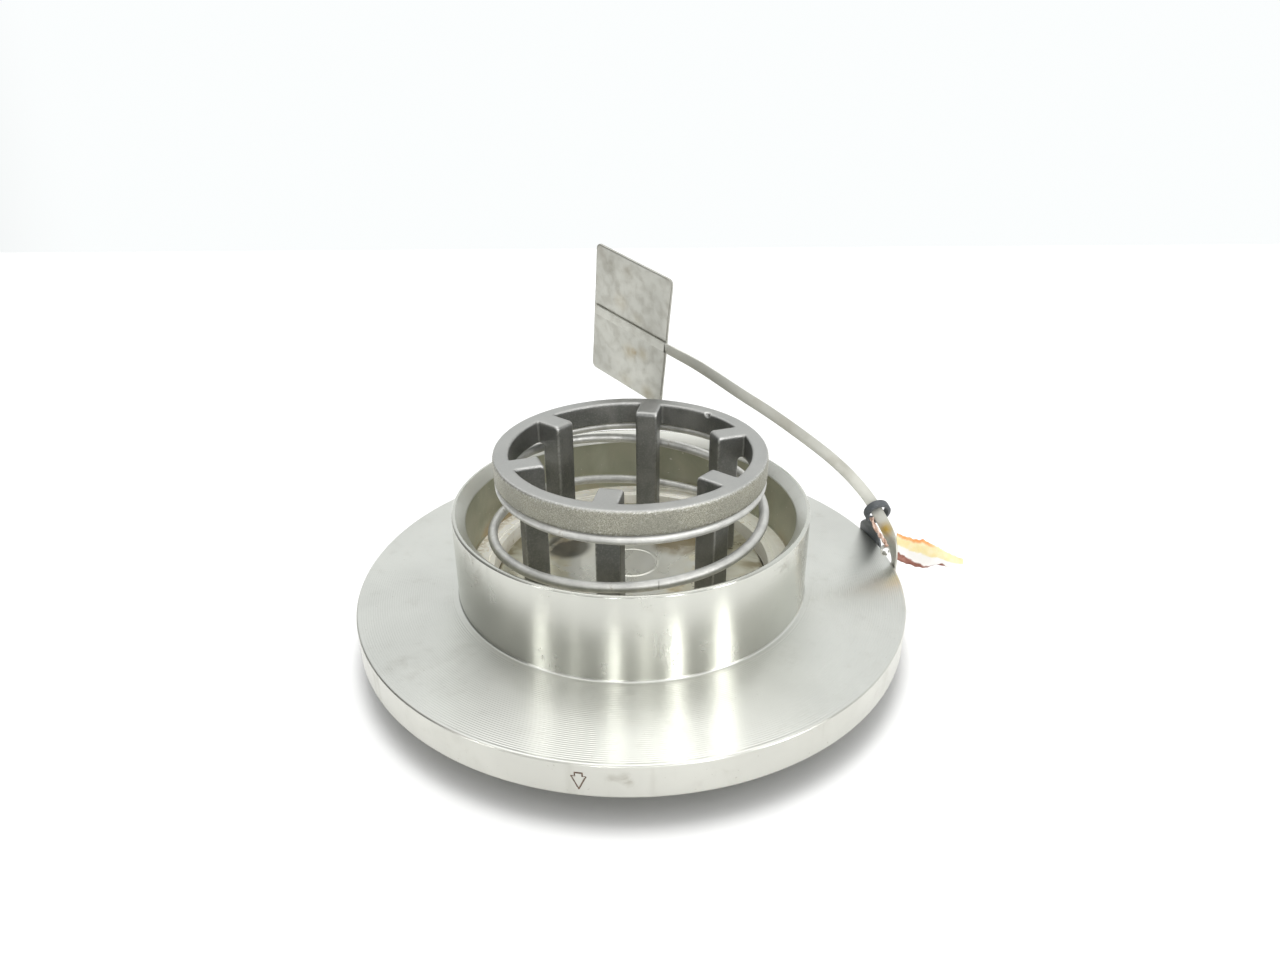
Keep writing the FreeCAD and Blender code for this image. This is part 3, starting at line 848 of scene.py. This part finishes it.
def make_guide_cage():
    """The cage's solid, remeshed finely, softened along its edges and given its cast grain."""
    cage = new_object("guide_cage_visual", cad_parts["guide_cage"].data.copy())
    remesh = cage.modifiers.new("remesh", "REMESH")
    remesh.mode = "VOXEL"
    remesh.voxel_size = CAGE_VOXEL * MM
    applied(cage)
    work = bmesh.new()
    work.from_mesh(cage.data)
    for _ in range(3):
        bmesh.ops.smooth_vert(
            work, verts=work.verts, factor=0.5, use_axis_x=True, use_axis_y=True, use_axis_z=True)
    work.normal_update()
    for vertex in work.verts:
        place = vertex.co / MM
        radius = math.hypot(place.x, place.y)
        on_side = smoothstep(RING_RADIUS - 0.5, RING_RADIUS - 0.2, radius)
        on_top = smoothstep(RING_TOP - 0.3, RING_TOP - 0.1, place.z) * (1 - on_side)
        grain = noise.noise(place * 1.7) + 0.6 * noise.noise(place * 3.4)
        swell = noise.noise(place * 0.22)
        amount = 0.03 + 0.09 * on_side - 0.02 * on_top
        lift = amount * grain - 0.05 * on_side + 0.05 * swell * (1 - on_side)
        lift -= 0.8 * (1 - smoothstep(0.4, 1.5, (place - RING_NICK).length))
        vertex.co += vertex.normal * min(lift, 0.0 if on_top > 0.5 else 0.1) * MM
    record_wear(work)
    work.to_mesh(cage.data)
    work.free()
    cage.data.materials.clear()
    cage.data.materials.append(make_cage_steel())
    cage.data.polygons.foreach_set("use_smooth", [True] * len(cage.data.polygons))
    settle(cage, "poppet", "cage_steel", "guide_cage")


def make_seal():
    low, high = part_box("seat_o_ring")
    section = (high[2] - low[2]) / 2 / MM
    centre_radius = high[0] / MM - section
    centre_height = (high[2] + low[2]) / 2 / MM
    outline = []
    for step in range(28):
        angle = 2 * math.pi * step / 28
        r = centre_radius + section * math.cos(angle)
        outline.append((r, centre_height + section * math.sin(angle), 0))
    seal = lathe("seat_o_ring_visual", outline, [make_rubber("seal_rubber", (0.03, 0.03, 0.033))], FULL_TURN)
    settle(seal, "poppet", "seal_rubber", "seat_o_ring")


def finish_screws():
    """The CAD screws keep their shape and get a bright turned finish."""
    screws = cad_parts["cage_screws"]
    n = Nodes("screw_steel")
    fine = n.noise(n.place, 1200.0, 3.0, 0.6)
    cloud = n.noise(n.place, 200.0, 4.0, 0.6)
    base = n.mix(n.ramp(cloud, 0.35, 0.7), (0.48, 0.47, 0.45), (0.68, 0.67, 0.65))
    material = n.finish(base, n.ramp(fine, 0.3, 0.7, 0.24, 0.38), n.bump(fine, 0.02 * MM, 0.6))
    screws.data.materials.clear()
    screws.data.materials.append(material)


# ---- spring
def clamped_spline(stations):
    """Cubic curve of (height, radius) over azimuth through the stations, level at both ends."""
    count = len(stations)
    slopes = [Vector((0.0, 0.0))] * count
    for _ in range(60):
        for i in range(1, count - 1):
            left, here, right = stations[i - 1], stations[i], stations[i + 1]
            a, b = here[0] - left[0], right[0] - here[0]
            rise_before = (Vector(here[1:]) - Vector(left[1:])) * (3 / (a * a))
            rise = rise_before + (Vector(right[1:]) - Vector(here[1:])) * (3 / (b * b))
            slopes[i] = (rise - slopes[i - 1] / a - slopes[i + 1] / b) / (2 / a + 2 / b)

    def value(azimuth):
        i = max(k for k in range(count - 1) if azimuth <= stations[k][0])
        start, end = stations[i], stations[i + 1]
        span = end[0] - start[0]
        t = (azimuth - start[0]) / span
        return (Vector(start[1:]) * (2 * t ** 3 - 3 * t * t + 1)
                + slopes[i] * (span * (t ** 3 - 2 * t * t + t))
                + Vector(end[1:]) * (3 * t * t - 2 * t ** 3)
                + slopes[i + 1] * (span * (t ** 3 - t * t)))

    return value


def make_return_spring():
    coil = clamped_spline(SPRING_STATIONS)
    first, last = SPRING_STATIONS[0], SPRING_STATIONS[-1]
    step = 2.0
    centres = []
    azimuth = first[0] + CLOSED_TURN
    while azimuth >= last[0]:
        height, radius = coil(min(max(azimuth, last[0]), first[0]))
        angle = math.radians(azimuth)
        centres.append(Vector((radius * math.cos(angle), radius * math.sin(angle), height)))
        azimuth -= step
    spring = tube("return_spring_visual", centres, WIRE_RADIUS, [make_spring_steel()], 28)
    settle(spring, "body", "spring_steel", "return_spring")
    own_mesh(spring)


# ---- tag, strap and what hangs on it
def tag_axes():
    front = TAG_ACROSS.cross(TAG_UP_HINT).normalized()
    return TAG_ACROSS, front.cross(TAG_ACROSS), front


def make_tag_plate():
    """Thin sheet with clipped corners, slightly buckled by handling."""
    across, up, front = tag_axes()
    columns, rows = 48, 64
    sheet = []
    for row in range(rows + 1):
        for column in range(columns + 1):
            x = (column / columns - 0.5) * TAG_WIDTH
            y = (row / rows - 0.5) * TAG_HEIGHT
            beyond = Vector((abs(x) - TAG_WIDTH / 2 + TAG_CORNER, abs(y) - TAG_HEIGHT / 2 + TAG_CORNER))
            if beyond.x > 0 and beyond.y > 0:
                pulled = beyond * (max(beyond) / beyond.length)
                x = math.copysign(TAG_WIDTH / 2 - TAG_CORNER + pulled.x, x)
                y = math.copysign(TAG_HEIGHT / 2 - TAG_CORNER + pulled.y, y)
            sheet.append((x, y, 0.12 * noise.noise(Vector((x * 0.06, y * 0.06, 2.0)))))
    vertices, faces = [], []
    rim = 0.07
    for side in (1, -1):
        for x, y, wave in sheet:
            shrink = Vector((1 - rim / (TAG_WIDTH / 2), 1 - rim / (TAG_HEIGHT / 2)))
            in_plane = TAG_CENTRE + across * x * shrink.x + up * y * shrink.y
            vertices.append(in_plane + front * (side * TAG_THICKNESS / 2 + wave))
    offset = len(sheet)
    width = columns + 1
    for row in range(rows):
        for column in range(columns):
            a = row * width + column
            faces.append((a, a + 1, a + 1 + width, a + width))
            faces.append((offset + a, offset + a + width, offset + a + 1 + width, offset + a + 1))
    border = list(range(width)) + [r * width + columns for r in range(1, rows + 1)]
    border += [rows * width + c for c in range(columns - 1, -1, -1)]
    border += [r * width for r in range(rows - 1, 0, -1)]
    middle = len(vertices)
    for index in border:
        x, y, wave = sheet[index]
        for side in (1, -1):
            through = side * (TAG_THICKNESS / 2 - rim) + wave
            vertices.append(TAG_CENTRE + across * x + up * y + front * through)
    for position, index in enumerate(border):
        following = (position + 1) % len(border)
        a, b = index, border[following]
        c, d = middle + 2 * position, middle + 2 * following
        faces.append((a, c, d, b))
        faces.append((c, c + 1, d + 1, d))
        faces.append((c + 1, offset + a, offset + b, d + 1))
    # Each stain: across and up from the plate's middle, reach, tint and strength
    marks = [
        (3.5, -10.5, 2.6, (0.26, 0.19, 0.09), 0.95),
        (1.0, -12.0, 6.0, (0.40, 0.34, 0.22), 0.5),
        (8.5, -9.5, 5.0, (0.40, 0.35, 0.24), 0.45),
        (-13.0, 23.0, 6.5, (0.30, 0.29, 0.25), 0.75),
        (-3.0, 24.0, 4.5, (0.32, 0.30, 0.25), 0.6),
        (-18.0, 26.0, 5.0, (0.33, 0.31, 0.27), 0.5),
        (-6.0, 9.0, 6.0, (0.42, 0.37, 0.27), 0.4),
        (4.0, 5.0, 5.0, (0.40, 0.38, 0.30), 0.4),
        (17.5, 0.5, 2.8, (0.16, 0.15, 0.12), 0.8),
        (-20.0, -1.0, 2.8, (0.16, 0.15, 0.12), 0.85),
        (13.0, -27.0, 6.0, (0.36, 0.32, 0.22), 0.6),
        (0.0, -27.0, 6.0, (0.40, 0.37, 0.28), 0.4),
    ]
    stains = [(TAG_CENTRE + across * x + up * y, reach, tint, share) for x, y, reach, tint, share in marks]
    steel = sheet_steel("tag_steel", (0.50, 0.50, 0.455), stains)
    plate = mesh_object("tag_plate_visual", vertices, faces, [steel], 50.0)
    settle(plate, "body", "tag_steel", "tag_plate")


def make_tag_strap():
    across, up, front = tag_axes()
    on_plate = TAG_CENTRE + front * ((TAG_THICKNESS + STRAP_THICKNESS) / 2 + 0.08)
    shares = (-0.475, -0.25, 0.0, 0.25, 0.48, 0.54)
    stations = [(on_plate + across * (TAG_WIDTH * share), up) for share in shares]
    stations += [(Vector(run[:3]), Vector(run[3:])) for run in STRAP_RUN]
    centres = curve_through([centre for centre, _ in stations], 10)
    hints = curve_through([hint.normalized() for _, hint in stations], 10)
    outline = rounded_rectangle(STRAP_WIDTH, STRAP_THICKNESS, 0.22)
    # Each stain or painted shade: place, reach, tint and strength
    residue_and_loop_shade = [
        ((95.3, 9.6, 12.0), 4.2, (0.50, 0.34, 0.07), 1.0),
        ((98.3, 5.0, 2.0), 4.0, (0.42, 0.40, 0.36), 0.4),
        # Painted shade: the strap is darkened where it runs through the tie loop.
        ((92.2, 16.2, 17.6), 3.4, (0.16, 0.16, 0.15), 0.8),
        ((80.0, 27.2, 30.0), 7.0, (0.40, 0.39, 0.34), 0.5),
        ((60.0, 41.0, 42.5), 7.0, (0.38, 0.36, 0.30), 0.4),
    ]
    strap = band("tag_strap_visual", list(zip(centres, hints)), lambda share: outline,
                 [sheet_steel("strap_steel", (0.55, 0.55, 0.50), residue_and_loop_shade, 0.8)])
    settle(strap, "body", "strap_steel", "tag_strap")


def make_tie_loop():
    """Short rubber ring round the strap, with its flat tail over the rim."""
    side = LOOP_AXIS.cross(Vector((0, 0, 1))).normalized()
    upward = side.cross(LOOP_AXIS)
    profile = rounded([
        (LOOP_HOLE, -LOOP_LENGTH / 2, 0.25, 0),
        (LOOP_RADIUS, -LOOP_LENGTH / 2, 0.35, 0),
        (LOOP_RADIUS, LOOP_LENGTH / 2, 0.35, 0),
        (LOOP_HOLE, LOOP_LENGTH / 2, 0.25, 0),
    ])
    rubber = make_rubber("loop_rubber", (0.075, 0.083, 0.09))
    vertices, faces = [], []
    around, along = 72, len(profile)
    for turn in range(around):
        angle = 2 * math.pi * turn / around
        direction = side * math.cos(angle) + upward * math.sin(angle)
        vertices += [LOOP_CENTRE + direction * r + LOOP_AXIS * z for r, z, _ in profile]
    for a in range(around):
        b = (a + 1) % around
        for i in range(along):
            j = (i + 1) % along
            faces.append((a * along + i, b * along + i, b * along + j, a * along + j))
    ring = mesh_object("tie_loop_visual", vertices, faces, [rubber], 40.0)
    settle(ring, "body", "loop_rubber", "tie_loop")
    middles = [(left + right) / 2 for left, right in TAIL_EDGES]
    widths = [right - left for left, right in TAIL_EDGES]
    centres = curve_through(middles, 14)
    spans = curve_through(widths, 14)
    strip = [(centre, span.normalized()) for centre, span in zip(centres, spans)]

    def outline_at(share):
        index = min(int(round(share * (len(spans) - 1))), len(spans) - 1)
        return rounded_rectangle(spans[index].length - 0.1, 1.1, 0.3)

    tail = band("tie_tail_visual", strip, outline_at, [rubber])
    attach(tail, "body")


def make_label_wire():
    """Two thin strands twisted round each other."""
    route = curve_through([Vector(point) for point in LABEL_WIRE_ROUTE], 16)
    sheath = make_wire_sheath()
    strands = []
    for index in range(2):
        line = []
        for step, centre in enumerate(route):
            ahead = route[min(step + 1, len(route) - 1)] - route[max(step - 1, 0)]
            tangent = ahead.normalized()
            normal = tangent.cross(Vector((0, 0, 1))).normalized()
            angle = 0.2 * step + math.pi * index
            offset = normal * math.cos(angle) + tangent.cross(normal) * math.sin(angle)
            line.append(centre + offset * STRAND_RADIUS)
        strands.append(tube(f"label_wire_strand_{index + 1}", line, STRAND_RADIUS, [sheath], 12))
    settle(strands[0], "body", "wire_sheath", "label_wire")
    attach(strands[1], "body")


def make_wire_crimp():
    """Curled strip of soft metal that pinches the wire's end against the strap."""
    stations = []
    for step in range(40):
        share = step / 39
        angle = math.radians(-40 + 330 * share)
        reach = 1.3 + 0.5 * share
        offset = Vector((reach * math.cos(angle), 0.9 * share, reach * math.sin(angle)))
        centre = Vector((94.9, 4.9, 5.6)) + offset
        stations.append((centre, Vector((0.2, 1.0, -0.3 + 0.6 * share))))
    outline = rounded_rectangle(2.6, 0.35, 0.12)
    metal = sheet_steel("crimp_metal", (0.70, 0.70, 0.66))
    crimp = band("wire_crimp", stations, lambda share: outline, [metal])
    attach(crimp, "body")


def make_torn_label():
    """Paper scrap: ragged along its top, curled and creased, coloured by its own width and height."""
    centres = curve_through([Vector((x, y, (low + high) / 2)) for x, y, low, high in LABEL_STATIONS], 12)
    halves = curve_through([Vector(((high - low) / 2, 0, 0)) for *_, low, high in LABEL_STATIONS], 12)
    rows = 14
    vertices, shares = [], []
    for column, (centre, half) in enumerate(zip(centres, halves)):
        along = column / (len(centres) - 1)
        notch = 0.9 * max(0.0, 1 - abs(along - 0.34) * 26)
        rag_top = 0.45 * noise.noise(Vector((along * 24.0, 0.0, 5.0))) + notch
        rag_low = 0.35 * noise.noise(Vector((along * 18.0, 7.0, 1.0)))
        for row in range(rows + 1):
            up = row / rows
            height = centre.z + half.x * (2 * up - 1) + rag_top * up * up - rag_low * (1 - up) ** 2
            crease = 0.35 * noise.noise(Vector((along * 7, up * 3, 3.0)))
            curl = 0.5 * math.sin(up * 3.0 + along * 5.0) + crease
            vertices.append(Vector((centre.x, centre.y + curl * min(1.0, along * 5), height)))
            shares.append((along, up))
    columns = len(centres)
    faces = []
    for column in range(columns - 1):
        for row in range(rows):
            a = column * (rows + 1) + row
            faces.append((a, a + 1, a + rows + 2, a + rows + 1))
    label = mesh_object("torn_label_visual", vertices, faces, [make_label_paper()], 60.0, None, shares)
    thick = label.modifiers.new("paper", "SOLIDIFY")
    thick.thickness = 0.22 * MM
    thick.offset = 0.0
    applied(label)
    settle(label, "body", "label_paper", "torn_label")


# ---- room, lights and camera
def make_stage():
    """White floor that the valve's disc stands on, ending a little way behind it."""
    floor_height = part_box("poppet_disc")[0][2]
    mesh = bpy.data.meshes.new("floor")
    reach_back, reach = 0.68, 3.0
    corners = [(-reach, -reach), (reach, -reach), (reach, reach_back), (-reach, reach_back)]
    mesh.from_pydata([(x, y, floor_height) for x, y in corners], [], [(0, 1, 2, 3)])
    mesh.materials.append(Nodes("floor_white").finish((0.93, 0.93, 0.93), 0.6, None, 0.0))
    floor = new_object("floor", mesh)
    return floor


def make_world():
    """Bright room: white overhead and behind, greyer in front, dark on the left."""
    world = bpy.data.worlds.new("room")
    world.use_nodes = True
    bpy.context.scene.world = world
    n = Tree(world.node_tree, "Generated")
    x, y, z = n.axes()
    sides = n.mix(n.ramp(y, -0.35, 0.35), (0.48, 0.48, 0.47), (0.97, 0.99, 0.99))
    sides = n.mix(n.ramp(x, -0.92, -0.50), (0.14, 0.14, 0.135), sides)
    overhead = n.mix(n.ramp(z, 0.62, 0.85), sides, (0.98, 0.98, 0.97))
    n.fill(world.node_tree.nodes["Background"], Color=overhead, Strength=1.0)


def receivers(name, floor, state):
    """Group that a lamp lights: only the floor, or all but the floor, whose shadow then stays dark."""
    group = bpy.data.collections.new(name)
    group.objects.link(floor)
    group.collection_objects[0].light_linking.link_state = state
    return group


def softbox(name, azimuth, elevation, distance, width, height, power, lit=None):
    """Rectangular light aimed at the valve from a direction."""
    data = bpy.data.lights.new(name, "AREA")
    data.shape = "RECTANGLE"
    data.size = width
    data.size_y = height
    data.energy = power
    lamp = new_object(name, data)
    a, e = math.radians(azimuth), math.radians(elevation)
    place = Vector((math.cos(e) * math.cos(a), math.cos(e) * math.sin(a), math.sin(e))) * distance
    lamp.location = place
    lamp.rotation_euler = (-place).to_track_quat("-Z", "Y").to_euler()
    if lit:
        lamp.light_linking.receiver_collection = lit


def make_lights(floor):
    softbox("overhead", 90, 76, 1.6, 1.3, 1.3, 6.5)
    softbox("table_lamp", 90, 83, 1.6, 0.45, 0.45, 10.5, receivers("lit_by_table_lamp", floor, "INCLUDE"))
    spared = receivers("lit_by_windows", floor, "EXCLUDE")
    # Each strip window: azimuth, width and power
    windows = {
        "window_centre": (-100.5, 0.045, 2.5),
        "window_mid_right": (-82, 0.16, 1.1),
        "window_right": (-64, 0.09, 4.2),
        "window_far_right": (-34, 0.17, 5.4),
        "window_left": (-146, 0.035, 2.2),
        "window_mid_left": (-124, 0.03, 0.5),
    }
    for name, (azimuth, width, power) in windows.items():
        softbox(name, azimuth, 25, 1.5, width, 0.8, power, spared)


def make_camera():
    """Pinhole camera that looks about 26 degrees down at the valve."""
    data = bpy.data.cameras.new("camera")
    data.sensor_width = 36.0
    data.lens = 24.88
    data.clip_start = 0.01
    camera = new_object("camera", data)
    right = Vector((0.99990, -0.01343, -0.00376))
    forward = Vector((0.01039, 0.89716, -0.44158))
    upward = right.cross(forward)
    rotation = Matrix((right, upward, -forward)).transposed().to_4x4()
    camera.matrix_world = Matrix.Translation((0.0, -0.27844, 0.17527)) @ rotation
    bpy.context.scene.camera = camera


make_camera()
floor = make_stage()
make_world()
make_lights(floor)
bpy.context.scene.view_settings.view_transform = "Standard"
make_valve_body()
make_poppet_disc()
make_guide_cage()
make_seal()
finish_screws()
make_return_spring()
make_tag_plate()
make_tag_strap()
make_tie_loop()
make_label_wire()
make_wire_crimp()
make_torn_label()
